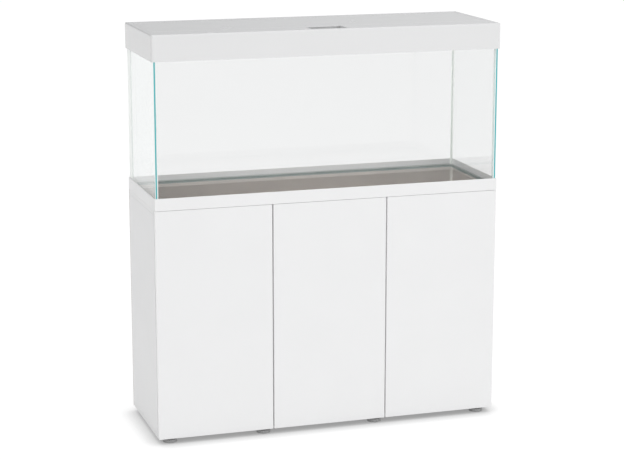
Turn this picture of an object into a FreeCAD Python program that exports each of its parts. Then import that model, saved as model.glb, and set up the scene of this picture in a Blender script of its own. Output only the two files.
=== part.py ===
import FreeCAD, Part
import os
import re
import Sketcher

# Aquarium set: a three-door stand cabinet on levelling feet, a tank in a moulded base frame and a hood.
# Millimetres. Origin on the floor at the centre of the cabinet's footprint, +X to the right seen from
# the front, -Y towards the front, +Z up.

SIZES = {
    # cabinet
    "stand_w": 1205,
    "stand_d": 405,
    "foot_h": 20,
    "board_t": 16,
    "back_t": 5,
    "back_inset": 2,
    "door_h": 782,
    "door_side_gap": 1.2,
    "door_split": 4.4,
    "door_back_gap": 2,
    "door_top_gap": 1,
    "door_edge_r": 1.2,
    "board_edge": 0.5,
    "hose_hole_r": 30,
    "hose_hole_drop": 95,
    "hose_pitch": 390,
    "grommet_wall": 3,
    "grommet_flange": 7,
    "grommet_flange_t": 2,
    "divider_hole_r": 28,
    "divider_hole_up": 650,
    "divider_hole_back": 60,
    "shelf_up": 360,
    "shelf_front_gap": 25,
    "shelf_d": 345,
    "shelf_side_gap": 1,
    "pin_r": 2.5,
    "pin_hole_r": 2.6,
    "pin_in": 9,
    "pin_hole_t": 9.4,
    "pin_out": 8,
    "pin_setback": 45,
    "pin_pitch": 64,
    "cam_r": 7.5,
    "cam_hole_r": 7.6,
    "cam_t": 12,
    "cam_hole_t": 12.2,
    "cam_up": 34,
    "cam_setback": 50,
    "cam_slot_w": 1.6,
    "cam_slot_t": 2,
    "cam_slot_l": 10,
    "back_screw_r": 3.5,
    "back_screw_t": 1.2,
    "back_screw_in": 10,
    "back_screw_shank_r": 1.5,
    "back_screw_hole_r": 1.6,
    "back_screw_low": 150,
    "back_screw_pitch": 240,
    # concealed hinges
    "hinge_end": 100,
    "pivot_in": 5,
    "pivot_back": 6,
    "cup_in": 21.5,
    "cup_bore_r": 17.5,
    "cup_bore_t": 12,
    "cup_r": 17.3,
    "cup_t": 11.5,
    "cup_inner_r": 16.5,
    "cup_inner_t": 10.6,
    "flange_w": 19,
    "flange_h": 60,
    "flange_t": 1,
    "cup_screw_r": 3.6,
    "cup_screw_t": 0.5,
    "cup_screw_pitch": 24,
    "cup_screw_shank_r": 1.6,
    "cup_screw_shank": 9,
    "cup_screw_hole_r": 1.7,
    "cup_screw_hole_t": 9.5,
    "rim_r": 18.5,
    "nose_in": 26,
    "nose_back": 12,
    "nose_r": 2.6,
    "link_l": 22,
    "link_t": 2.2,
    "link_h": 8,
    "link_tilt": 7,
    "link_bore_r": 1.3,
    "arm_pin_r": 1.0,
    "fork_gap": 8.8,
    "arm_h": 15,
    "arm_t": 9,
    "head_l": 9,
    "fork_l": 5,
    "arm_l": 72,
    "plate_t": 3,
    "plate_back": 37,
    "plate_l": 46,
    "plate_h": 18,
    "wing_l": 14,
    "wing_h": 50,
    "plate_screw_r": 3.6,
    "plate_screw_t": 1.6,
    "plate_screw_pitch": 20,
    "plate_screw_shank_r": 1.6,
    "plate_screw_hole_r": 1.7,
    "plate_screw_shank": 11,
    "plate_screw_hole_t": 9,
    # push latches
    "latch_side": 34,
    "latch_w": 15,
    "latch_h": 16,
    "latch_l": 62,
    "latch_front": 1.5,
    "latch_bore_r": 4.4,
    "latch_bore_l": 54,
    "latch_ear_w": 12,
    "latch_ear_l": 18,
    "latch_ear_t": 3,
    "latch_ear_back": 24,
    "latch_screw_r": 2.8,
    "latch_screw_t": 1.4,
    "latch_screw_shank_r": 1.4,
    "latch_screw_shank": 9,
    "latch_screw_hole_r": 1.5,
    "latch_screw_hole_t": 7,
    "plunger_r": 4.1,
    "plunger_l": 46,
    "plunger_gap": 0.4,
    "plunger_tip": 1,
    "strike_r": 8,
    "strike_t": 1,
    # levelling feet
    "foot_r": 23.5,
    "foot_pad_h": 11,
    "foot_round": 2.5,
    "foot_hub_r": 11,
    "foot_hub_h": 17.8,
    "foot_stem_r": 4,
    "foot_stem_h": 33,
    "foot_grip_r": 2,
    "foot_grips": 12,
    "socket_r": 7,
    "socket_hole_r": 7.1,
    "socket_bore_r": 4.3,
    "socket_flange_r": 14,
    "socket_flange_t": 1.5,
    "socket_h": 14.5,
    "socket_hole_t": 15,
    "foot_outer_x": 556,
    "foot_inner_left": -228,
    "foot_inner_right": 174,
    "foot_y": 164,
    # base frame and tank
    "band_h": 41,
    "band_wall": 3,
    "band_edge_r": 1.5,
    "band_flange": 22,
    "band_flange_t": 3,
    "deck_t": 3,
    "deck_gap": 0.5,
    "mat_t": 6,
    "mat_gap": 1,
    "tank_w": 1198,
    "tank_d": 398,
    "tank_h": 500,
    "glass_t": 8,
    "glass_joint": 0.5,
    "glass_edge": 0.8,
    "bead_r": 4,
    "brace_w": 36,
    "brace_t": 6,
    "brace_drop": 14,
    "cross_brace_w": 90,
    # hood
    "hood_w": 1210,
    "hood_d": 408,
    "hood_h": 87,
    "hood_up": 448,
    "hood_wall": 3.5,
    "hood_top_t": 4,
    "hood_corner_r": 7,
    "hood_edge_r": 3,
    "seat_w": 12,
    "seat_t": 4,
    "flap_front": 90,
    "flap_back": 50,
    "flap_side": 20,
    "flap_gap": 1,
    "flap_t": 3,
    "flap_seat_w": 8,
    "flap_seat_t": 3,
    "flap_seat_gap": 0.5,
    "flap_bead_r": 4,
    "flap_groove_gap": 0.6,
    "recess_w": 124,
    "recess_front": 14,
    "recess_t": 4.5,
    "recess_under": 1.2,
    "recess_wall": 3,
    "hinge_pin_r": 1.5,
    "hinge_pin_l": 23,
    "pin_seat_r": 1.6,
    "pin_seat_l": 12,
    "pin_bore_r": 1.8,
    "run_in": 1,
    "boss_w": 14,
    "boss_l": 14,
    "boss_drop": 8,
    "bar_w": 1140,
    "bar_d": 90,
    "bar_h": 16,
    "bar_y": 10,
    "bar_up": 18,
    "bracket_w": 30,
    "bracket_out": 27,
    "tube_r": 8,
    "tube_l": 1040,
    "tube_pitch": 46,
    "cap_r": 9,
    "cap_l": 25,
}

# Lengths and places used more than once, spelled out in sheet names.
DOOR_W = "(stand_w - 2*door_side_gap - 2*door_split)/3"
CARCASS_D = "(stand_d - board_t - door_back_gap - back_t - back_inset)"
CARCASS_FRONT = "(-stand_d/2 + board_t + door_back_gap)"
DOOR_BACK = "(-stand_d/2 + board_t)"
CARCASS_H = "(door_h + door_top_gap)"
TOP_Z = "(foot_h + door_h + door_top_gap)"
SIDE_H = f"({CARCASS_H} - 2*board_t)"
DIVIDER_X = f"({DOOR_W}/2 + door_split/2)"
BAND_TOP = f"({TOP_Z} + band_h)"
DECK_Z = f"({TOP_Z} + band_flange_t)"
MAT_Z = f"({DECK_Z} + deck_t)"
GLASS_Z = f"({MAT_Z} + mat_t)"
TANK_TOP = f"({GLASS_Z} + tank_h)"
HOOD_Z = f"({BAND_TOP} + hood_up)"
HOOD_TOP = f"({HOOD_Z} + hood_h)"
LATCH_Z = f"({TOP_Z} - board_t - latch_h/2)"
FLAP_Z = f"({HOOD_TOP} - flap_t)"
FLAP_AXIS_Y = "(hood_d/2 - flap_back)"
FLAP_AXIS_Z = f"({HOOD_TOP} - flap_bead_r)"

doc = FreeCAD.newDocument("AquariumSet")
sheet = doc.addObject("Spreadsheet::Sheet", "Sizes")
for row, (alias, value) in enumerate(SIZES.items(), start=1):
    sheet.set(f"A{row}", alias)
    sheet.set(f"B{row}", str(value))
    sheet.setAlias(f"B{row}", alias)
doc.recompute()

WORD = re.compile(r"\b([a-z]\w*)\b")
NODES = []
LETTERS = ("x", "y", "z")
Y, Z = 1, 2


def ex(text):
    """Turn size names into references to the sheet."""
    return WORD.sub(r"Sizes.\1", text)


def bind(obj, prop, text):
    obj.setExpression(prop, ex(text))


def place(obj, at):
    for letter, text in zip(LETTERS, at):
        bind(obj, f"Placement.Base.{letter}", text)


def node(obj, label):
    obj.Label = label
    NODES.append(obj)
    return obj


# --- bodies made from sketches ---------------------------------------------------------------------


def new_body(label, at):
    body = doc.addObject("PartDesign::Body", "Body")
    place(body, at)
    return node(body, label)


def new_sketch(body, plane, offset="0"):
    """A sketch on one of the body's origin planes, moved along the plane's normal by offset."""
    sketch = body.newObject("Sketcher::SketchObject", "Sketch")
    role = f"{plane}_Plane"
    support = [f for f in body.Origin.OriginFeatures if f.Role == role][0]
    sketch.AttachmentSupport = [(support, "")]
    sketch.MapMode = "FlatFace"
    if offset != "0":
        bind(sketch, "AttachmentOffset.Base.z", offset)
    return sketch


def fix(sketch, kind, args, text):
    index = sketch.addConstraint(Sketcher.Constraint(kind, *args, 1.0))
    sketch.setExpression(f"Constraints[{index}]", ex(text))


def pin_point(sketch, geo, pos, x, y):
    """Hold a point at x, y from the sketch origin."""
    for kind, text, axis in (("DistanceX", x, -2), ("DistanceY", y, -1)):
        if text == "0":
            sketch.addConstraint(Sketcher.Constraint("PointOnObject", geo, pos, axis))
        else:
            fix(sketch, kind, (-1, 1, geo, pos), text)


def rect(sketch, x, y, w, h):
    corners = [FreeCAD.Vector(*p, 0) for p in ((1, 1), (5, 1), (5, 5), (1, 5))]
    first = sketch.GeometryCount
    for i in range(4):
        sketch.addGeometry(Part.LineSegment(corners[i], corners[(i + 1) % 4]), False)
    for i in range(4):
        joined = (first + i, 2, first + (i + 1) % 4, 1)
        sketch.addConstraint(Sketcher.Constraint("Coincident", *joined))
        kind = "Horizontal" if i % 2 == 0 else "Vertical"
        sketch.addConstraint(Sketcher.Constraint(kind, first + i))
    fix(sketch, "DistanceX", (first, 1, first, 2), w)
    fix(sketch, "DistanceY", (first + 1, 1, first + 1, 2), h)
    pin_point(sketch, first, 1, x, y)


def circle(sketch, x, y, r):
    centre = FreeCAD.Vector(3, 3, 0)
    geo = sketch.addGeometry(Part.Circle(centre, FreeCAD.Vector(0, 0, 1), 1), False)
    fix(sketch, "Radius", (geo,), r)
    pin_point(sketch, geo, 3, x, y)


def feature(body, kind, sketch, length, reverse=False):
    made = body.newObject(f"PartDesign::{kind}", kind)
    made.Profile = sketch
    made.Reversed = reverse
    bind(made, "Length", length)
    body.Tip = made
    sketch.Visibility = False
    doc.recompute()
    return made


def volume(body):
    return body.Shape.Volume


def cut(body, sketch, length, reverse=False):
    before = volume(body)
    made = feature(body, "Pocket", sketch, length, reverse)
    if volume(body) >= before - 0.5:
        raise ValueError(f"{body.Label}: a pocket removes nothing")
    return made


def edges_where(shape, test):
    return [f"Edge{i}" for i, edge in enumerate(shape.Edges, start=1) if test(edge)]


def ends(edge):
    return edge.Vertexes[0].Point, edge.Vertexes[-1].Point


def runs_along(edge, axis):
    a, b = ends(edge)
    return (b - a).Length > 1e-6 and abs(abs((b - a).normalize()[axis]) - 1) < 1e-6


def at_level(edge, axis, value):
    return all(abs(point[axis] - value) < 1e-4 for point in ends(edge))


def starts_at_front(edge):
    """One end of the edge lies on the body's front plane."""
    return min(abs(point[Y]) for point in ends(edge)) < 1e-4


def soften(body, kind, test, prop, text):
    """Round or chamfer the edges picked by test."""
    tip = body.Tip
    edges = edges_where(tip.Shape, test)
    if not edges:
        raise ValueError(f"{body.Label}: no edges to soften")
    made = body.newObject(f"PartDesign::{kind}", kind)
    made.Base = (tip, edges)
    bind(made, prop, text)
    body.Tip = made
    doc.recompute()
    return made


def board(label, at, size, edge="board_edge"):
    """A rectangular board with every edge lightly chamfered; body origin at its low corner."""
    body = new_body(label, at)
    sketch = new_sketch(body, "XY")
    rect(sketch, "0", "0", size[0], size[1])
    feature(body, "Pad", sketch, size[2])
    soften(body, "Chamfer", lambda e: True, "Size", edge)
    return body


def round_cuts(body, plane, spots, r, depth, offset="0", reverse=False):
    sketch = new_sketch(body, plane, offset)
    for x, y in spots:
        circle(sketch, x, y, r)
    return cut(body, sketch, depth, reverse)


# --- solids from primitives ------------------------------------------------------------------------

TURN = {
    "z": FreeCAD.Rotation(),
    "x": FreeCAD.Rotation(FreeCAD.Vector(0, 1, 0), 90),
    "y": FreeCAD.Rotation(FreeCAD.Vector(1, 0, 0), -90),
}


def box(at, size):
    made = doc.addObject("Part::Box", "Box")
    for prop, text in zip(("Length", "Width", "Height"), size):
        bind(made, prop, text)
    place(made, at)
    return made


def rod(at, r, length, axis="z"):
    """A cylinder that starts at the given point and runs along +axis."""
    made = doc.addObject("Part::Cylinder", "Rod")
    bind(made, "Radius", r)
    bind(made, "Height", length)
    made.Placement = FreeCAD.Placement(FreeCAD.Vector(), TURN[axis])
    place(made, at)
    return made


def fuse(parts):
    made = doc.addObject("Part::MultiFuse", "Fuse")
    made.Shapes = parts
    return made


def minus(base, tools):
    made = doc.addObject("Part::Cut", "Cut")
    made.Base = base
    made.Tool = tools[0] if len(tools) == 1 else fuse(tools)
    return made


def group(label, parts):
    made = doc.addObject("Part::Compound", "Group")
    made.Links = parts
    return node(made, label)


# --- carcass ---------------------------------------------------------------------------------------

SIDE_Z = "foot_h + board_t"
HINGE_UPS = ("hinge_end", "door_h - hinge_end")
FOOT_XS = ("-foot_outer_x", "foot_inner_left", "foot_inner_right", "foot_outer_x")
FEET = [(x, y) for y in ("-foot_y", "foot_y") for x in FOOT_XS]
BACK_COLUMNS = (
    "back_screw_in",
    f"stand_w/2 - {DIVIDER_X}",
    f"stand_w/2 + {DIVIDER_X}",
    "stand_w - back_screw_in",
)
BACK_ROWS = [f"back_screw_low + {step}*back_screw_pitch" for step in range(3)]

lower = board("bottom_board", ("-stand_w/2", CARCASS_FRONT, "foot_h"), ("stand_w", CARCASS_D, "board_t"))
sockets = [(f"{x} + stand_w/2", f"{y} - {CARCASS_FRONT}") for x, y in FEET]
round_cuts(lower, "XY", sockets, "socket_hole_r", "socket_hole_t", reverse=True)
upper = board("top_board", ("-stand_w/2", CARCASS_FRONT, f"{TOP_Z} - board_t"),
              ("stand_w", CARCASS_D, "board_t"))


def upright(label, x):
    return board(label, (x, CARCASS_FRONT, SIDE_Z), ("board_t", CARCASS_D, SIDE_H))


def face_cuts(body, high, spots, r, depth):
    """Round holes in the +X face (high) or the -X face of an upright."""
    if high:
        return round_cuts(body, "YZ", spots, r, depth, offset="board_t")
    return round_cuts(body, "YZ", spots, r, depth, reverse=True)


CAM_YS = ("cam_setback", f"{CARCASS_D} - cam_setback")
CAM_ZS = ("cam_up", f"{SIDE_H} - cam_up")
CAM_SPOTS = [(y, z) for y in CAM_YS for z in CAM_ZS]
PIN_YS = ("shelf_front_gap + pin_setback", "shelf_front_gap + shelf_d - pin_setback")
PIN_ROWS = ("shelf_up - pin_pitch", "shelf_up", "shelf_up + pin_pitch")
PIN_SPOTS = [(y, z) for y in PIN_YS for z in PIN_ROWS]
PLATE_ZS = [f"{up} - board_t {sign} plate_screw_pitch" for up in HINGE_UPS for sign in "-+"]
PLATE_SPOTS = [("plate_back", z) for z in PLATE_ZS]

# label, low x, face for the shelf, face for the cams, face for the hinge plates
UPRIGHTS = [
    ("side_panel_left", "-stand_w/2", True, True, True),
    ("divider_left", f"-{DIVIDER_X} - board_t/2", False, True, True),
    ("divider_right", f"{DIVIDER_X} - board_t/2", True, False, None),
    ("side_panel_right", "stand_w/2 - board_t", False, False, False),
]
for label, x, shelf_face, cam_face, plate_face in UPRIGHTS:
    wall = upright(label, x)
    face_cuts(wall, cam_face, CAM_SPOTS, "cam_hole_r", "cam_hole_t")
    face_cuts(wall, shelf_face, PIN_SPOTS, "pin_hole_r", "pin_hole_t")
    if plate_face is not None:
        face_cuts(wall, plate_face, PLATE_SPOTS, "plate_screw_hole_r", "plate_screw_hole_t")
    if label.startswith("divider"):
        hose_spot = [(f"{CARCASS_D} - divider_hole_back", "divider_hole_up")]
        face_cuts(wall, False, hose_spot, "divider_hole_r", "board_t")

rear = new_body("back_panel", ("-stand_w/2", f"{CARCASS_FRONT} + {CARCASS_D}", "foot_h"))
outline = new_sketch(rear, "XY")
rect(outline, "0", "0", "stand_w", "back_t")
feature(rear, "Pad", outline, CARCASS_H)
HOSE_XS = ("stand_w/2 - hose_pitch", "stand_w/2", "stand_w/2 + hose_pitch")
HOSE_Z = f"({CARCASS_H} - hose_hole_drop)"
round_cuts(rear, "XZ", [(x, HOSE_Z) for x in HOSE_XS], "hose_hole_r", "back_t")
back_screw_spots = [(x, z) for x in BACK_COLUMNS for z in BACK_ROWS]
round_cuts(rear, "XZ", back_screw_spots, "back_screw_hole_r", "back_t")

BACK_Y = f"({CARCASS_FRONT} + {CARCASS_D} + back_t)"
screws = []
for x, z in back_screw_spots:
    at_x, at_z = f"{x} - stand_w/2", f"{z} + foot_h"
    head = rod((at_x, BACK_Y, at_z), "back_screw_r", "back_screw_t", "y")
    shank = rod((at_x, f"{BACK_Y} - back_t", at_z), "back_screw_shank_r", "back_t", "y")
    screws.append(fuse([head, shank]))
group("back_panel_screws", screws)

grommets = []
for x in HOSE_XS:
    at_x, at_z = f"{x} - stand_w/2", f"{HOSE_Z} + foot_h"
    lip = rod((at_x, BACK_Y, at_z), "hose_hole_r + grommet_flange", "grommet_flange_t", "y")
    sleeve = rod((at_x, f"{BACK_Y} - back_t", at_z), "hose_hole_r", "back_t", "y")
    bore_l = "back_t + grommet_flange_t"
    bore = rod((at_x, f"{BACK_Y} - back_t", at_z), "hose_hole_r - grommet_wall", bore_l, "y")
    grommets.append(minus(fuse([lip, sleeve]), [bore]))
group("hose_grommets", grommets)

SHELF_Z = f"({SIDE_Z} + shelf_up + pin_r)"
SHELF_Y = f"({CARCASS_FRONT} + shelf_front_gap)"
BAY_LOW = "(-stand_w/2 + board_t)"
BAY_HIGH = f"(-{DIVIDER_X} - board_t/2)"
SHELF_SIZE = (f"{BAY_HIGH} - {BAY_LOW} - 2*shelf_side_gap", "shelf_d", "board_t")
board("shelf_left", (f"{BAY_LOW} + shelf_side_gap", SHELF_Y, SHELF_Z), SHELF_SIZE)
board("shelf_right", (f"-{BAY_HIGH} + shelf_side_gap", SHELF_Y, SHELF_Z), SHELF_SIZE)

# face of the upright, length of the pin that lies on the low-X side of it
PIN_FACES = [
    (BAY_LOW, "pin_in"),
    (BAY_HIGH, "pin_out"),
    (f"-{BAY_HIGH}", "pin_in"),
    (f"-{BAY_LOW}", "pin_out"),
]
pins = []
for face, step in PIN_FACES:
    for y in PIN_YS:
        start = (f"{face} - {step}", f"{CARCASS_FRONT} + {y}", f"{SIDE_Z} + shelf_up")
        pins.append(rod(start, "pin_r", "pin_in + pin_out", "x"))
group("shelf_pins", pins)

cams = []
for label, x, shelf_face, cam_face, plate_face in UPRIGHTS:
    disc_x = f"{x} + board_t - cam_t" if cam_face else x
    slot_x = f"{x} + board_t - cam_slot_t" if cam_face else x
    for y, z in CAM_SPOTS:
        at_y, at_z = f"{CARCASS_FRONT} + {y}", f"{SIDE_Z} + {z}"
        disc = rod((disc_x, at_y, at_z), "cam_r", "cam_t", "x")
        slots = []
        for wide, tall in (("cam_slot_w", "cam_slot_l"), ("cam_slot_l", "cam_slot_w")):
            low = (slot_x, f"{at_y} - {wide}/2", f"{at_z} - {tall}/2")
            slots.append(box(low, ("cam_slot_t", wide, tall)))
        cams.append(minus(disc, slots))
group("cam_fittings", cams)

# --- doors, hinges and latches ---------------------------------------------------------------------

# low and high edge of each door, face its hinge plates are screwed to, X of its latch, side it extends to
LATCH_IN = "(board_t/2 + latch_side)"
DOORS = {
    "left": (
        "(-stand_w/2 + door_side_gap)", f"(-{DIVIDER_X} - door_split/2)",
        BAY_LOW, f"(-{DIVIDER_X} - {LATCH_IN})", "+",
    ),
    "middle": (
        f"(-{DOOR_W}/2)", f"({DOOR_W}/2)",
        f"(-{DIVIDER_X} + board_t/2)", f"({DIVIDER_X} - {LATCH_IN})", "+",
    ),
    "right": (
        f"({DIVIDER_X} + door_split/2)", "(stand_w/2 - door_side_gap)",
        f"(-{BAY_LOW})", f"({DIVIDER_X} + {LATCH_IN})", "-",
    ),
}
CUP_FACE = f"({DOOR_BACK} + flange_t)"
PIVOT_Y = "(-stand_d/2 + pivot_back)"
NOSE_Y = f"({PIVOT_Y} + nose_back)"


def span(origin, side, start, length):
    """Low end of a stretch that begins start away from origin on the given side."""
    if side == "+":
        return f"{origin} + {start}"
    return f"{origin} - {start} - {length}"


plates, arms, plate_screws, housings, latch_screws = [], [], [], [], []
for name, (low_x, high_x, face, latch_x, side) in DOORS.items():
    edge = low_x if side == "+" else high_x
    door = new_body(f"door_{name}", (low_x, "-stand_d/2", "foot_h"))
    outline = new_sketch(door, "XY")
    rect(outline, "0", "0", DOOR_W, "board_t")
    feature(door, "Pad", outline, "door_h")
    soften(door, "Fillet", lambda e: True, "Radius", "door_edge_r")
    cup_x = "cup_in" if side == "+" else f"{DOOR_W} - cup_in"
    cup_spots = [(cup_x, up) for up in HINGE_UPS]
    screw_spots = [(cup_x, f"{up} {sign} cup_screw_pitch") for up in HINGE_UPS for sign in "-+"]
    round_cuts(door, "XZ", cup_spots, "cup_bore_r", "cup_bore_t", "-board_t", True)
    round_cuts(door, "XZ", screw_spots, "cup_screw_hole_r", "cup_screw_hole_t", "-board_t", True)

    cups, links = [], []
    cup_at = f"{edge} {side} cup_in"
    nose_x = f"({edge} {side} (pivot_in + nose_in))"
    for up in HINGE_UPS:
        z = f"foot_h + {up}"
        # cup: round body in the door's bore, rim and flange on its inner face
        body = rod((cup_at, f"{DOOR_BACK} - cup_t", z), "cup_r", "cup_t", "y")
        rim = rod((cup_at, DOOR_BACK, z), "rim_r", "flange_t", "y")
        flange_low = (f"{cup_at} - flange_w/2", DOOR_BACK, f"{z} - flange_h/2")
        flange = box(flange_low, ("flange_w", "flange_t", "flange_h"))
        hollow = rod((cup_at, f"{CUP_FACE} - cup_inner_t", z), "cup_inner_r", "cup_inner_t", "y")
        screw_zs = [f"{z} {sign} cup_screw_pitch" for sign in "-+"]
        holes = [rod((cup_at, DOOR_BACK, at), "cup_screw_hole_r", "flange_t", "y") for at in screw_zs]
        cups.append(minus(fuse([body, rim, flange]), [hollow] + holes))
        for at in screw_zs:
            head = rod((cup_at, CUP_FACE, at), "cup_screw_r", "cup_screw_t", "y")
            start = (cup_at, f"{CUP_FACE} - cup_screw_shank", at)
            shank = rod(start, "cup_screw_shank_r", "cup_screw_shank", "y")
            cups.append(fuse([head, shank]))
        # base plate with its two screws
        wing_y = f"{CARCASS_FRONT} + plate_back"
        plate_x = span(face, side, "0", "plate_t")
        bar_low = (plate_x, f"{wing_y} - plate_l/2", f"{z} - plate_h/2")
        wing_low = (plate_x, f"{wing_y} - wing_l/2", f"{z} - wing_h/2")
        bar = box(bar_low, ("plate_t", "plate_l", "plate_h"))
        wing = box(wing_low, ("plate_t", "wing_l", "wing_h"))
        screw_zs = [f"{z} {sign} plate_screw_pitch" for sign in "-+"]
        holes = [rod((plate_x, wing_y, at), "plate_screw_hole_r", "plate_t", "x") for at in screw_zs]
        plates.append(minus(fuse([bar, wing]), holes))
        head_x = span(face, side, "plate_t", "plate_screw_t")
        shank_x = span(face, side, "(plate_t - plate_screw_shank)", "plate_screw_shank")
        for at in screw_zs:
            head = rod((head_x, wing_y, at), "plate_screw_r", "plate_screw_t", "x")
            shank = rod((shank_x, wing_y, at), "plate_screw_shank_r", "plate_screw_shank", "x")
            plate_screws.append(fuse([head, shank]))
        # arm: root along the base plate, forked head, nose with the pivot pin
        away = f"{nose_x} - {face}" if side == "+" else f"{face} - {nose_x}"
        reach = f"(({away}) - plate_t + nose_r)"
        low = f"{z} - arm_h/2"
        root = box((span(face, side, "plate_t", "arm_t"), NOSE_Y, low), ("arm_t", "arm_l", "arm_h"))
        head = box((span(face, side, "plate_t", reach), NOSE_Y, low), (reach, "head_l", "arm_h"))
        nose = rod((nose_x, NOSE_Y, low), "nose_r", "arm_h")
        fork_w = f"({reach} + nose_r)"
        fork_low = (span(face, side, "plate_t", fork_w), f"{NOSE_Y} - 2*nose_r", f"{z} - fork_gap/2")
        fork = box(fork_low, (fork_w, "fork_l + 2*nose_r", "fork_gap"))
        pin = rod((nose_x, NOSE_Y, low), "arm_pin_r", "arm_h")
        arms.append(fuse([minus(fuse([root, head, nose]), [fork]), pin]))
        # link: turns on the nose pin, its free end stands in the cup
        bar = box(("0", "-link_t/2", "-link_h/2"), ("link_l - link_t/2", "link_t", "link_h"))
        eye = rod(("0", "0", "-link_h/2"), "nose_r - arm_pin_r/2", "link_h")
        tip = rod(("link_l - link_t/2", "0", "-link_h/2"), "link_t/2", "link_h")
        bore = rod(("0", "0", "-link_h/2"), "link_bore_r", "link_h")
        link = minus(fuse([bar, eye, tip]), [bore])
        bind(link, "Placement.Rotation.Angle", "180 + link_tilt" if side == "+" else "-link_tilt")
        place(link, (nose_x, NOSE_Y, z))
        links.append(link)
    group(f"hinge_cups_{name}", cups)
    group(f"hinge_link_{name}", links)

    strike = rod((latch_x, DOOR_BACK, LATCH_Z), "strike_r", "strike_t", "y")
    node(strike, f"strike_plate_{name}")

    # push latch: housing under the top board, plunger in its bore
    front = f"{CARCASS_FRONT} + latch_front"
    ceiling = f"{TOP_Z} - board_t"
    case_low = (f"{latch_x} - latch_w/2", front, f"{ceiling} - latch_h")
    case = box(case_low, ("latch_w", "latch_l", "latch_h"))
    ear_y = f"{front} + latch_ear_back"
    ear_z = f"{ceiling} - latch_ear_t"
    ear_low = (f"{latch_x} - latch_w/2 - latch_ear_w", f"{ear_y} - latch_ear_l/2", ear_z)
    ears = box(ear_low, ("latch_w + 2*latch_ear_w", "latch_ear_l", "latch_ear_t"))
    bore = rod((latch_x, front, LATCH_Z), "latch_bore_r", "latch_bore_l", "y")
    screw_xs = [f"{latch_x} {sign} (latch_w + latch_ear_w)/2" for sign in "-+"]
    holes = [rod((x, ear_y, ear_z), "latch_screw_hole_r", "latch_ear_t") for x in screw_xs]
    housings.append(minus(fuse([case, ears]), [bore] + holes))
    for x in screw_xs:
        head = rod((x, ear_y, f"{ear_z} - latch_screw_t"), "latch_screw_r", "latch_screw_t")
        shank = rod((x, ear_y, ear_z), "latch_screw_shank_r", "latch_screw_shank")
        latch_screws.append(fuse([head, shank]))
    spots = [(f"{x} + stand_w/2", f"{ear_y} - {CARCASS_FRONT}") for x in screw_xs]
    round_cuts(upper, "XY", spots, "latch_screw_hole_r", "latch_screw_hole_t", reverse=True)
    tip_y = f"({DOOR_BACK} + strike_t + plunger_gap)"
    stem = rod((latch_x, f"{tip_y} + plunger_tip", LATCH_Z), "plunger_r", "plunger_l - plunger_tip", "y")
    tip = rod((latch_x, tip_y, LATCH_Z), "plunger_r - plunger_tip", "plunger_tip", "y")
    node(fuse([stem, tip]), f"latch_plunger_{name}")
group("hinge_plates", plates)
group("hinge_arms", arms)
group("hinge_plate_screws", plate_screws)
group("latch_housings", housings)
group("latch_screws", latch_screws)

# --- levelling feet --------------------------------------------------------------------------------

sleeves = []
for number, (x, y) in enumerate(FEET, start=1):
    foot = new_body(f"foot_{number}", (x, y, "0"))
    pad = new_sketch(foot, "XY")
    circle(pad, "0", "0", "foot_r")
    feature(foot, "Pad", pad, "foot_pad_h")
    soften(foot, "Fillet", lambda e: at_level(e, Z, SIZES["foot_pad_h"]), "Radius", "foot_round")
    grip = new_sketch(foot, "XY")
    circle(grip, "foot_r + foot_grip_r/2", "0", "foot_grip_r")
    notch = cut(foot, grip, "foot_pad_h", reverse=True)
    ring = foot.newObject("PartDesign::PolarPattern", "Grips")
    ring.Originals = [notch]
    ring.Axis = (grip, ["N_Axis"])
    ring.Angle = 360
    bind(ring, "Occurrences", "foot_grips")
    foot.Tip = ring
    hub = new_sketch(foot, "XY")
    circle(hub, "0", "0", "foot_hub_r")
    feature(foot, "Pad", hub, "foot_hub_h")
    stem = new_sketch(foot, "XY")
    circle(stem, "0", "0", "foot_stem_r")
    feature(foot, "Pad", stem, "foot_stem_h")
    flange = rod((x, y, "foot_h - socket_flange_t"), "socket_flange_r", "socket_flange_t")
    sleeve = rod((x, y, "foot_h - socket_flange_t"), "socket_r", "socket_h + socket_flange_t")
    bore = rod((x, y, "foot_h - socket_flange_t"), "socket_bore_r", "socket_h + socket_flange_t")
    sleeves.append(minus(fuse([flange, sleeve]), [bore]))
group("foot_sockets", sleeves)

# --- base frame and tank ---------------------------------------------------------------------------


def shell(body, inset, plane_z, depth, reverse=False, size=("stand_w", "stand_d")):
    sketch = new_sketch(body, "XY", plane_z)
    rect(sketch, inset, inset, f"{size[0]} - 2*({inset})", f"{size[1]} - 2*({inset})")
    return cut(body, sketch, depth, reverse)


frame = new_body("base_frame", ("-stand_w/2", "-stand_d/2", TOP_Z))
outline = new_sketch(frame, "XY")
rect(outline, "0", "0", "stand_w", "stand_d")
feature(frame, "Pad", outline, "band_h")
BAND_TOP_EDGE = SIZES["band_h"]
soften(frame, "Fillet", lambda e: runs_along(e, Z) or at_level(e, Z, BAND_TOP_EDGE), "Radius", "band_edge_r")
shell(frame, "band_wall", "band_h", "band_h - band_flange_t")
shell(frame, "band_wall + band_flange", "band_flange_t", "band_flange_t")

board("deck_board", ("-tank_w/2 + deck_gap", "-tank_d/2 + deck_gap", DECK_Z),
      ("tank_w - 2*deck_gap", "tank_d - 2*deck_gap", "deck_t"))
board("support_mat", ("-tank_w/2 + mat_gap", "-tank_d/2 + mat_gap", MAT_Z),
      ("tank_w - 2*mat_gap", "tank_d - 2*mat_gap", "mat_t"))

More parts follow.
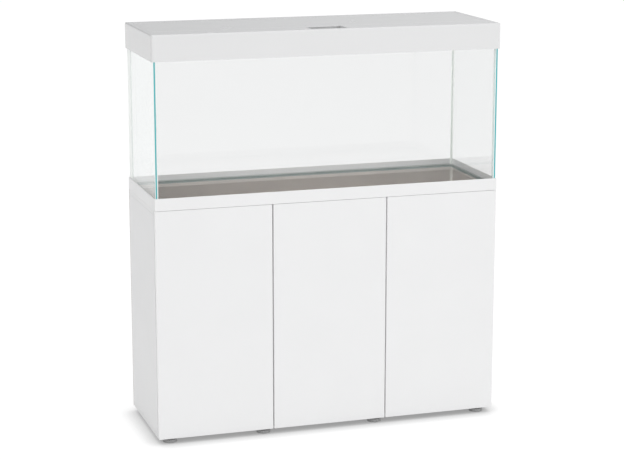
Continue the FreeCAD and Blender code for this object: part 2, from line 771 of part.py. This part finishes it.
LONG_W = "(tank_w - 2*(glass_t + glass_joint))"
LONG_X = f"(-{LONG_W}/2)"
INNER_Y = "(tank_d/2 - glass_t)"
INNER_X = "(tank_w/2 - glass_t)"
SIDE_SIZE = ("glass_t", "tank_d", "tank_h")
board("glass_left", ("-tank_w/2", "-tank_d/2", GLASS_Z), SIDE_SIZE, "glass_edge")
board("glass_right", (INNER_X, "-tank_d/2", GLASS_Z), SIDE_SIZE, "glass_edge")
board("glass_front", (LONG_X, "-tank_d/2", GLASS_Z), (LONG_W, "glass_t", "tank_h"), "glass_edge")
board("glass_back", (LONG_X, INNER_Y, GLASS_Z), (LONG_W, "glass_t", "tank_h"), "glass_edge")
PANE_LOW = (LONG_X, f"-{INNER_Y} + glass_joint", GLASS_Z)
board("glass_bottom", PANE_LOW, (LONG_W, f"2*({INNER_Y} - glass_joint)", "glass_t"), "glass_edge")

BRACE_Z = f"({TANK_TOP} - brace_drop - brace_t)"
FLOOR_Z = f"({GLASS_Z} + glass_t)"


def bead(at, length, axis, quarter):
    """A quarter-round silicone bead; quarter counts the turns about its own axis."""
    made = rod(at, "bead_r", length, axis)
    made.Angle = 90
    turn = FreeCAD.Rotation(FreeCAD.Vector(0, 0, 1), 90 * quarter)
    made.Placement = FreeCAD.Placement(FreeCAD.Vector(), TURN[axis].multiply(turn))
    place(made, at)
    return made


UPRIGHT_BEAD = f"{BRACE_Z} - {FLOOR_Z} - bead_r"
beads = [
    bead((f"-{INNER_X}", f"-{INNER_Y}", f"{FLOOR_Z} + bead_r"), UPRIGHT_BEAD, "z", 0),
    bead((INNER_X, f"-{INNER_Y}", f"{FLOOR_Z} + bead_r"), UPRIGHT_BEAD, "z", 1),
    bead((INNER_X, INNER_Y, f"{FLOOR_Z} + bead_r"), UPRIGHT_BEAD, "z", 2),
    bead((f"-{INNER_X}", INNER_Y, f"{FLOOR_Z} + bead_r"), UPRIGHT_BEAD, "z", 3),
    bead((f"-{INNER_X} + bead_r", f"-{INNER_Y}", FLOOR_Z), f"2*({INNER_X} - bead_r)", "x", 1),
    bead((f"-{INNER_X} + bead_r", INNER_Y, FLOOR_Z), f"2*({INNER_X} - bead_r)", "x", 2),
    bead((f"-{INNER_X}", f"-{INNER_Y} + bead_r", FLOOR_Z), f"2*({INNER_Y} - bead_r)", "y", 3),
    bead((INNER_X, f"-{INNER_Y} + bead_r", FLOOR_Z), f"2*({INNER_Y} - bead_r)", "y", 2),
]
group("silicone_beads", beads)

BRACE_YS = (f"-{INNER_Y}", f"{INNER_Y} - brace_w")
braces = [box((LONG_X, y, BRACE_Z), (LONG_W, "brace_w", "brace_t")) for y in BRACE_YS]
for x in ("-tank_w/6", "tank_w/6"):
    start = (f"{x} - cross_brace_w/2", f"-{INNER_Y} + bead_r", f"{BRACE_Z} + brace_t")
    braces.append(box(start, ("cross_brace_w", f"2*({INNER_Y} - bead_r)", "brace_t")))
group("glass_braces", braces)

# --- hood ------------------------------------------------------------------------------------------

FLAP_DEPTH = "(hood_d - flap_back - flap_front - flap_gap)"
FLAP_W = "(hood_w - 2*(flap_side + flap_gap))"
AXIS_Y = "(hood_d - flap_back)"
UNDER = "(hood_h - hood_top_t)"
LEDGE_Z = "(hood_h - flap_t - flap_seat_gap - flap_seat_t)"

hood = new_body("hood_frame", ("-hood_w/2", "-hood_d/2", HOOD_Z))
outline = new_sketch(hood, "XY")
rect(outline, "0", "0", "hood_w", "hood_d")
feature(hood, "Pad", outline, "hood_h")
soften(hood, "Fillet", lambda e: runs_along(e, Z), "Radius", "hood_corner_r")
soften(hood, "Fillet", lambda e: at_level(e, Z, SIZES["hood_h"]), "Radius", "hood_edge_r")
shell(hood, "hood_wall", "0", UNDER, reverse=True, size=("hood_w", "hood_d"))

recess_low = "(hood_w/2 - recess_w/2)"
boss = new_sketch(hood, "XY", "hood_h - recess_t - recess_wall")
rect(boss, f"{recess_low} - recess_wall", "recess_front - recess_wall", "recess_w + 2*recess_wall",
     "flap_front + recess_under - recess_front + 2*recess_wall")
feature(hood, "Pad", boss, "recess_t + recess_wall - hood_top_t + run_in")

knuckles = new_sketch(hood, "XY", f"{UNDER} - boss_drop")
for x in ("flap_side - boss_w", "hood_w - flap_side"):
    rect(knuckles, x, f"{AXIS_Y} - boss_l/2", "boss_w", "boss_l")
feature(hood, "Pad", knuckles, "boss_drop + run_in")

opening = new_sketch(hood, "XY", "hood_h")
opening_d = f"{AXIS_Y} + flap_bead_r + flap_groove_gap - flap_front"
rect(opening, "flap_side", "flap_front", "hood_w - 2*flap_side", opening_d)
cut(hood, opening, "hood_top_t")

ledge_run = f"{AXIS_Y} - flap_bead_r - boss_l/2 - flap_front + hood_top_t"
sides = new_sketch(hood, "XY", LEDGE_Z)
for x in ("flap_side - hood_top_t", "hood_w - flap_side - flap_seat_w"):
    rect(sides, x, "flap_front - hood_top_t", "flap_seat_w + hood_top_t", ledge_run)
feature(hood, "Pad", sides, "flap_seat_t")
front_ledge = new_sketch(hood, "XY", LEDGE_Z)
ledge_d = "flap_seat_w + hood_top_t"
rect(front_ledge, "flap_side", "flap_front - hood_top_t", "hood_w - 2*flap_side", ledge_d)
feature(hood, "Pad", front_ledge, "flap_seat_t")

recess = new_sketch(hood, "XY", "hood_h")
rect(recess, recess_low, "recess_front", "recess_w", "flap_front + recess_under - recess_front")
cut(hood, recess, "recess_t")

for offset in ("flap_side - pin_seat_l", "hood_w - flap_side"):
    round_cuts(hood, "YZ", [(AXIS_Y, UNDER)], "pin_seat_r", "pin_seat_l", offset, True)

SEAT_LONG = "(hood_w - 2*hood_wall)"
SEAT_SHORT = "(hood_d - 2*hood_wall - 2*seat_w)"
rails = []
for y in ("-hood_d/2 + hood_wall", "hood_d/2 - hood_wall - seat_w"):
    rails.append(box((f"-{SEAT_LONG}/2", y, TANK_TOP), (SEAT_LONG, "seat_w", "seat_t")))
for x in (f"-{SEAT_LONG}/2", f"{SEAT_LONG}/2 - seat_w"):
    rails.append(box((x, f"-{SEAT_SHORT}/2", TANK_TOP), ("seat_w", SEAT_SHORT, "seat_t")))
group("hood_seat_rails", rails)

FLAP_LOW = ("-hood_w/2 + flap_side + flap_gap", "-hood_d/2 + flap_front + flap_gap", FLAP_Z)
flap = new_body("hood_flap", FLAP_LOW)
outline = new_sketch(flap, "XY")
rect(outline, "0", "0", FLAP_W, FLAP_DEPTH)
feature(flap, "Pad", outline, "flap_t")
FLAP_TOP_EDGE = SIZES["flap_t"]
soften(flap, "Chamfer", lambda e: at_level(e, Z, FLAP_TOP_EDGE) and starts_at_front(e), "Size", "board_edge")
roll = new_sketch(flap, "YZ")
ROLL_AT = (FLAP_DEPTH, "flap_t - flap_bead_r")
circle(roll, *ROLL_AT, "flap_bead_r")
feature(flap, "Pad", roll, FLAP_W)
for offset, reverse in (("0", True), (FLAP_W, False)):
    round_cuts(flap, "YZ", [ROLL_AT], "pin_bore_r", "pin_seat_l", offset, reverse)

hinge_pins = []
for x in ("-hood_w/2 + flap_side - pin_seat_l", "hood_w/2 - flap_side - pin_seat_l"):
    hinge_pins.append(rod((x, FLAP_AXIS_Y, FLAP_AXIS_Z), "hinge_pin_r", "hinge_pin_l", "x"))
group("hood_hinge_pins", hinge_pins)

BAR_Z = f"({TANK_TOP} + seat_t + bar_up)"
bar = box(("-bar_w/2", "bar_y - bar_d/2", BAR_Z), ("bar_w", "bar_d", "bar_h"))
BRACKET_XS = ("-bar_w/2 - bracket_out", "bar_w/2 + bracket_out - bracket_w")
brackets = []
for x in BRACKET_XS:
    low = (x, "bar_y - bar_d/2", f"{TANK_TOP} + seat_t")
    brackets.append(box(low, ("bracket_w", "bar_d", "bar_up + bar_h")))
node(fuse([bar] + brackets), "light_bar")

tubes = []
for sign in "-+":
    y, z = f"bar_y {sign} tube_pitch/2", f"{BAR_Z} - cap_r"
    tubes.append(rod(("-tube_l/2", y, z), "tube_r", "tube_l", "x"))
    for x in ("-tube_l/2 - cap_l", "tube_l/2"):
        tubes.append(rod((x, y, z), "cap_r", "cap_l", "x"))
group("light_tubes", tubes)

# --- checks and export -----------------------------------------------------------------------------

doc.recompute()
for obj in doc.Objects:
    if "Invalid" in obj.State or "Error" in obj.State:
        raise ValueError(f"{obj.Label} did not recompute: {obj.State}")
os.makedirs("parts", exist_ok=True)
for obj in NODES:
    if obj.Shape.isNull() or not obj.Shape.isValid() or obj.Shape.Volume <= 0:
        raise ValueError(f"{obj.Label} has no sound shape")
    obj.Shape.exportStep(f"parts/{obj.Label}.step")
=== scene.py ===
import bpy
import bmesh
import math
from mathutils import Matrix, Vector


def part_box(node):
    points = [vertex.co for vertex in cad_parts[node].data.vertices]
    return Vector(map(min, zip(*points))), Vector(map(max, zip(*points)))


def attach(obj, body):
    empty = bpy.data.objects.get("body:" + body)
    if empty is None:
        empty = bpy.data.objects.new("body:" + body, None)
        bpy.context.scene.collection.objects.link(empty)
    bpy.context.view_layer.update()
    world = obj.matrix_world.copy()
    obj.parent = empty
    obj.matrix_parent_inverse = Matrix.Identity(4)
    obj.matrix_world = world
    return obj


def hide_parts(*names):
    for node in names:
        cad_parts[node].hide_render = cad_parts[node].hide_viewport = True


# Aquarium set in a white studio: stand cabinet, base frame, glass tank and hood. The five panes are made here,
# with ground edges. Every other piece keeps its CAD mesh and only gets a finish.

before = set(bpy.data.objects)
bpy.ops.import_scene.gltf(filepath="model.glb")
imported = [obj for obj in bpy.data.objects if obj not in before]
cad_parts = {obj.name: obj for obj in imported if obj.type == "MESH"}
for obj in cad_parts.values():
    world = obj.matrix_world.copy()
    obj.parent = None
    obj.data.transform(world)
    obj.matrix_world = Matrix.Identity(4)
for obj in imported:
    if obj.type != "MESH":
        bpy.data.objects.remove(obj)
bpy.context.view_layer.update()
scene = bpy.context.scene

# ---------------------------------------------------------------- camera
CAMERA_AT = (-1.8894, -5.9892, 2.0627)
CAMERA_YAW = 0.3054
CAMERA_DOWN = 0.22
SENSOR = 36
FOCAL = 106.8635
FARTHEST = 100

lens = bpy.data.cameras.new("camera")
lens.sensor_width = SENSOR
lens.lens = FOCAL
lens.clip_end = FARTHEST
camera = bpy.data.objects.new("camera", lens)
camera.location = CAMERA_AT
camera.rotation_euler = (math.pi / 2 - CAMERA_DOWN, 0, -CAMERA_YAW)
scene.collection.objects.link(camera)
scene.camera = camera


# ---------------------------------------------------------------- node helpers
def new_tree(name):
    mat = bpy.data.materials.new(name)
    mat.use_nodes = True
    mat.node_tree.nodes.clear()
    return mat, mat.node_tree


def add(tree, kind, inputs=None, **settings):
    """A node with its settings; an input is a link if it is given a socket, else a value."""
    made = tree.nodes.new(f"ShaderNode{kind}")
    for key, value in settings.items():
        setattr(made, key, value)
    for key, value in (inputs or {}).items():
        if isinstance(value, bpy.types.NodeSocket):
            tree.links.new(value, made.inputs[key])
        else:
            made.inputs[key].default_value = value
    return made


def calc(tree, operation, *values):
    return add(tree, "Math", dict(enumerate(values)), operation=operation).outputs[0]


def ramp(tree, value, start, end, low, high):
    """Low where the value is at start or under it, high at end or over it, even in between."""
    return add(tree, "MapRange", {
        "Value": value, "From Min": start, "From Max": end, "To Min": low, "To Max": high}).outputs[0]


def grey(value):
    return (value, value, value, 1)


def tinted(tree, amount, first, second):
    mixed = add(tree, "Mix", {"Factor": amount, "A": first, "B": second}, data_type="RGBA")
    return mixed.outputs["Result"]


def blotches(tree, where, scale, low, high, detail=3.0, stretch=(1, 1, 1)):
    """A soft pattern between two numbers, low and high."""
    mapped = add(tree, "Mapping", {"Vector": where, "Scale": stretch})
    noise = add(tree, "TexNoise", {"Vector": mapped.outputs[0], "Scale": scale, "Detail": detail})
    return ramp(tree, noise.outputs["Fac"], 0.2, 0.8, low, high)


# ---------------------------------------------------------------- finishes
GRAIN_DEPTH = 0.0006
SHINE_PATCHES = 3
SPECK_DARKER = 0.6
FACES_SIDEWAYS = 0.9
SMUDGE_SCALE = 9.0
SMUDGE_SHINE = 0.012
FRESNEL_POWER = 5.0


def moulded(name, light, dark, rough, patch=6.0, grain=900.0, bump=0.05, metal=0.0, coat=0.0, coat_rough=0.05,
            stretch=(1, 1, 1), specular=0.5, grain_tint=0.0, glow=0.0, side_edge_highlight=None):
    """A solid finish: broad tone changes, fine grain in colour, roughness and relief.

    The lighter colour of edges that face left or right is a painted highlight; glow is painted light, an
    emission standing in for light that glass carries to its edges.
    """
    mat, tree = new_tree(name)
    where = add(tree, "TexCoord").outputs["Object"]
    broad = blotches(tree, where, patch, 0.0, 1.0, stretch=stretch)
    fine = blotches(tree, where, grain, 0.0, 1.0, detail=2.0, stretch=stretch)
    colour = tinted(tree, broad, light, dark)
    if grain_tint:
        speck = ramp(tree, fine, 0.0, 1.0, 0.0, grain_tint)
        colour = tinted(tree, speck, colour, tuple(SPECK_DARKER * part for part in dark[:3]) + (1,))
    # Painted highlight: faces that point left or right get a lighter colour.
    if side_edge_highlight:
        facing = add(tree, "SeparateXYZ", {0: add(tree, "TexCoord").outputs["Normal"]}).outputs["X"]
        on_edge = calc(tree, "GREATER_THAN", calc(tree, "ABSOLUTE", facing), FACES_SIDEWAYS)
        colour = tinted(tree, on_edge, colour, side_edge_highlight)
    shine = blotches(tree, where, patch * SHINE_PATCHES, *rough, stretch=stretch)
    relief = add(tree, "Bump", {"Height": fine, "Strength": bump, "Distance": GRAIN_DEPTH})
    body = add(tree, "BsdfPrincipled", {
        "Base Color": colour, "Roughness": shine, "Normal": relief.outputs[0], "Metallic": metal,
        "Coat Weight": coat, "Coat Roughness": coat_rough, "Specular IOR Level": specular,
        "Emission Color": light, "Emission Strength": glow})
    add(tree, "OutputMaterial", {"Surface": body.outputs[0]})
    return mat


def clear(name, tint, rough, head_on, sheen=(0.96, 0.98, 0.975, 1)):
    """Clear glass: see-through, with a reflection that grows at a slant on both of its faces."""
    mat, tree = new_tree(name)
    where = add(tree, "TexCoord").outputs["Object"]
    smudge = blotches(tree, where, SMUDGE_SCALE, 0.0, SMUDGE_SHINE, detail=4.0)
    slant = add(tree, "LayerWeight", {"Blend": 0.5}).outputs["Facing"]
    shine = ramp(tree, calc(tree, "POWER", slant, FRESNEL_POWER), 0.0, 1.0, head_on, 1.0)
    through = add(tree, "BsdfTransparent", {"Color": tint})
    gloss = add(tree, "BsdfGlossy", {"Color": sheen, "Roughness": rough})
    glass = add(tree, "MixShader", {
        0: calc(tree, "ADD", shine, smudge), 1: through.outputs[0], 2: gloss.outputs[0]})
    add(tree, "OutputMaterial", {"Surface": glass.outputs[0]})
    return mat


PANE = clear("clear_pane", (0.961, 0.962, 0.962, 1), 0.01, 0.02)
FLOOR_PANE = clear("floor_pane", (0.945, 0.945, 0.935, 1), 0.02, 0.05, sheen=(0.97, 0.96, 0.95, 1))
TEAL_EDGE = moulded("glass_edge", (0.045, 0.36, 0.39, 1), (0.06, 0.42, 0.44, 1), (0.10, 0.2), patch=18,
                    grain=500, bump=0.02, coat=0.6)
# Its glow is painted light: an emission on the ground edges standing in for light the glass carries to them.
PALE_EDGE = moulded("glass_ground_edge", (0.74, 0.75, 0.735, 1), (0.68, 0.69, 0.675, 1), (0.4, 0.5), patch=18,
                    grain=700, glow=0.3)
DEEP_EDGE = moulded("glass_deep_edge", (0.02, 0.09, 0.085, 1), (0.03, 0.12, 0.11, 1), (0.15, 0.25), patch=18,
                    grain=500, bump=0.02, coat=0.3)
STEEL = moulded("nickel_steel", grey(0.62), grey(0.52), (0.22, 0.35), patch=40, grain=2500, bump=0.04,
                metal=1.0)

# Screws, pins, hinges and every other node that isn't named here are steel.
FINISHES = [
    (moulded("white_board", grey(0.81), grey(0.795), (0.38, 0.46), grain=700, bump=0.08),
     ["side_panel_left", "side_panel_right", "divider_left", "divider_right", "shelf_left", "shelf_right"]),
    (moulded("edged_board", grey(0.79), grey(0.77), (0.34, 0.42), grain=700, bump=0.06),
     ["bottom_board", "top_board"]),
    # The door edges that face left or right get a painted highlight.
    (moulded("white_door", grey(0.79), grey(0.775), (0.30, 0.38), grain=700, bump=0.06, side_edge_highlight=grey(0.97)),
     ["door_left", "door_middle", "door_right"]),
    (moulded("white_frame", grey(0.79), grey(0.77), (0.30, 0.36), grain=1400), ["base_frame"]),
    (moulded("white_hood", grey(0.72), grey(0.705), (0.24, 0.28), patch=3, grain=160, bump=0.003, coat=0.25,
             coat_rough=0.03, specular=0.15),
     ["hood_frame", "hood_flap", "hood_seat_rails"]),
    (moulded("back_board", (0.62, 0.60, 0.56, 1), (0.56, 0.54, 0.50, 1), (0.6, 0.75), grain=500, bump=0.2,
             stretch=(1, 1, 0.3), grain_tint=0.12),
     ["back_panel"]),
    (moulded("satin_aluminium", grey(0.72), grey(0.66), (0.3, 0.42), patch=20, grain=1800, metal=1.0,
             stretch=(0.04, 1, 1)),
     ["light_bar"]),
    (moulded("fitting_plastic", grey(0.56), grey(0.54), (0.7, 0.8), patch=30, grain=1600),
     ["hose_grommets", "foot_sockets", "latch_housings", "latch_plunger_left", "latch_plunger_middle",
      "latch_plunger_right"]),
    (moulded("foot_moulding", grey(0.356), grey(0.342), (0.7, 0.8), patch=30, grain=1500),
     [f"foot_{number}" for number in range(1, 9)]),
    (moulded("fibreboard", (0.34, 0.28, 0.22, 1), (0.27, 0.22, 0.17, 1), (0.8, 0.9), grain=600, bump=0.3,
             grain_tint=0.2),
     ["deck_board"]),
    (moulded("foam_mat", (0.64, 0.56, 0.51, 1), (0.59, 0.515, 0.465, 1), (0.85, 0.95), patch=12, grain=420,
             bump=0.5, grain_tint=0.15),
     ["support_mat"]),
    (moulded("opal_tube", (0.86, 0.87, 0.88, 1), (0.82, 0.83, 0.85, 1), (0.12, 0.2), patch=12, grain=700,
             bump=0.01, coat=0.5),
     ["light_tubes"]),
    (clear("clear_silicone", (0.87, 0.89, 0.88, 1), 0.3, 0.04), ["silicone_beads"]),
    (PANE, ["glass_braces"]),
]

# Each pane: the axis across its thickness, then the finish of its wide faces, of its flat edges, and of its
# bevels and rear-facing edges.
PANES = {
    "glass_left": (0, PANE, TEAL_EDGE, PALE_EDGE),
    "glass_right": (0, PANE, TEAL_EDGE, PALE_EDGE),
    "glass_front": (1, PANE, TEAL_EDGE, PALE_EDGE),
    "glass_back": (1, PANE, PALE_EDGE, PALE_EDGE),
    "glass_bottom": (2, FLOOR_PANE, DEEP_EDGE, DEEP_EDGE),
}

# ---------------------------------------------------------------- CAD nodes keep their shape
finish_of = {node: mat for mat, nodes in FINISHES for node in nodes}
for node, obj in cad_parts.items():
    if node not in PANES:
        for slot in obj.material_slots:
            slot.link = "OBJECT"
            slot.material = finish_of.get(node, STEEL)

# ---------------------------------------------------------------- panes with ground edges
EDGE_CUT = 0.0014
FLAT = 0.99


def plate(low, high, thin_axis):
    """A bevelled plate: wide faces in slot 0, flat edges in slot 1, bevels and rear-facing edges in slot 2."""
    low, high = Vector(low), Vector(high)
    bm = bmesh.new()
    bmesh.ops.create_cube(bm, size=1.0)
    for vert in bm.verts:
        vert.co = Vector(low[i] + (vert.co[i] + 0.5) * (high[i] - low[i]) for i in range(3))
    bmesh.ops.bevel(bm, geom=bm.edges[:], offset=EDGE_CUT, segments=2, affect="EDGES", profile=0.6)
    for face in bm.faces:
        if abs(face.normal[thin_axis]) < FLAT:
            flat = max(abs(part) for part in face.normal) > FLAT
            face.material_index = 1 if flat and face.normal.y < 0.5 else 2
    return bm


def new_object(name, bm, materials):
    mesh = bpy.data.meshes.new(name)
    bm.to_mesh(mesh)
    bm.free()
    for mat in materials:
        mesh.materials.append(mat)
    obj = bpy.data.objects.new(name, mesh)
    scene.collection.objects.link(obj)
    return obj


for node, (thin_axis, *materials) in PANES.items():
    obj = new_object(f"pane_{node}", plate(*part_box(node), thin_axis), materials)
    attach(obj, "cabinet")
    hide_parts(node)

# ---------------------------------------------------------------- studio floor
FLOOR_HALF = 30
CONTACT_REACH = 0.075


def floor_with_painted_shadow():
    """Near white, with a painted contact shadow: darker only where something stands close above it."""
    mat, tree = new_tree("studio_floor")
    where = add(tree, "TexCoord").outputs["Object"]
    tone = tinted(tree, blotches(tree, where, 0.4, 0.0, 1.0), grey(0.25), grey(0.23))
    paint = add(tree, "BsdfDiffuse", {"Color": tone, "Roughness": 0.5})
    # Painted contact shadow: the floor's emission drops where ambient occlusion finds something close above.
    open_sky = add(tree, "AmbientOcclusion", {"Distance": CONTACT_REACH}, samples=16).outputs["AO"]
    lift = add(tree, "Emission", {
        "Color": (1, 1, 1, 1), "Strength": ramp(tree, open_sky, 0.15, 0.95, 0.25, 0.85)})
    sum_of = add(tree, "AddShader", {0: paint.outputs[0], 1: lift.outputs[0]})
    add(tree, "OutputMaterial", {"Surface": sum_of.outputs[0]})
    return mat


floor_grid = bmesh.new()
bmesh.ops.create_grid(floor_grid, x_segments=8, y_segments=8, size=FLOOR_HALF)
floor = new_object("studio_floor", floor_grid, [floor_with_painted_shadow()])

# ---------------------------------------------------------------- world
SEEN_WHITE = 1.02


def studio_world():
    """White to the camera. To all else a gradient: dim high at the rear, brightest low at the rear right."""
    world = bpy.data.worlds.new("studio")
    world.use_nodes = True
    tree = world.node_tree
    tree.nodes.clear()
    towards = add(tree, "SeparateXYZ", {0: add(tree, "TexCoord").outputs["Generated"]}).outputs
    parts = [ramp(tree, towards["Y"], -1.0, 1.0, 1.0, 0.6), ramp(tree, towards["X"], -1.0, 0.6, 0.78, 1.15)]
    high = ramp(tree, towards["Z"], 0.125, 0.17, 0.0, 1.0)
    rear = ramp(tree, towards["Y"], 0.3, 0.7, 0.0, 1.0)
    right = ramp(tree, towards["X"], 0.2, 0.42, 0.0, 1.0)
    high_rear = calc(tree, "MULTIPLY", high, rear)
    low_rear = calc(tree, "MULTIPLY", rear, ramp(tree, high, 0.0, 1.0, 1.0, 0.0))
    low_rear_right = calc(tree, "MULTIPLY", low_rear, right)
    parts += [ramp(tree, high_rear, 0.0, 1.0, 1.0, 0.35), ramp(tree, low_rear_right, 0.0, 1.0, 0.95, 1.3)]
    level = parts[0]
    for part in parts[1:]:
        level = calc(tree, "MULTIPLY", level, part)
    soft = add(tree, "Background", {"Color": (0.985, 0.99, 1, 1), "Strength": level})
    plain = add(tree, "Background", {"Color": (1, 1, 1, 1), "Strength": SEEN_WHITE})
    seen = add(tree, "LightPath").outputs["Is Camera Ray"]
    either = add(tree, "MixShader", {0: seen, 1: soft.outputs[0], 2: plain.outputs[0]})
    add(tree, "OutputWorld", {"Surface": either.outputs[0]})
    return world


scene.world = studio_world()

# ---------------------------------------------------------------- lights
UNDER_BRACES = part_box("glass_braces")[0][2] - 0.01


def softbox(name, at, aim, size, power, in_reflections=False):
    data = bpy.data.lights.new(name, "AREA")
    data.shape = "RECTANGLE"
    data.size, data.size_y = size
    data.energy = power
    obj = bpy.data.objects.new(name, data)
    obj.location = at
    obj.visible_camera = False
    obj.visible_glossy = in_reflections
    obj.rotation_euler = (Vector(aim) - Vector(at)).to_track_quat("-Z", "Y").to_euler()
    scene.collection.objects.link(obj)


softbox("key", (1.2, -5.0, 2.2), (0, 0, 0.7), (3.0, 3.0), 37)
softbox("over", (0, 0, 5.0), (0, 0, 0), (4.0, 3.0), 47, in_reflections=True)
softbox("hood_light", (0, 0, UNDER_BRACES), (0, 0, 0), (1.1, 0.34), 4.5)

# Light crosses many clear faces on its way through the tank.
MOST_CLEAR_FACES = 48
scene.cycles.transparent_max_bounces = MOST_CLEAR_FACES
scene.view_settings.view_transform = "Standard"
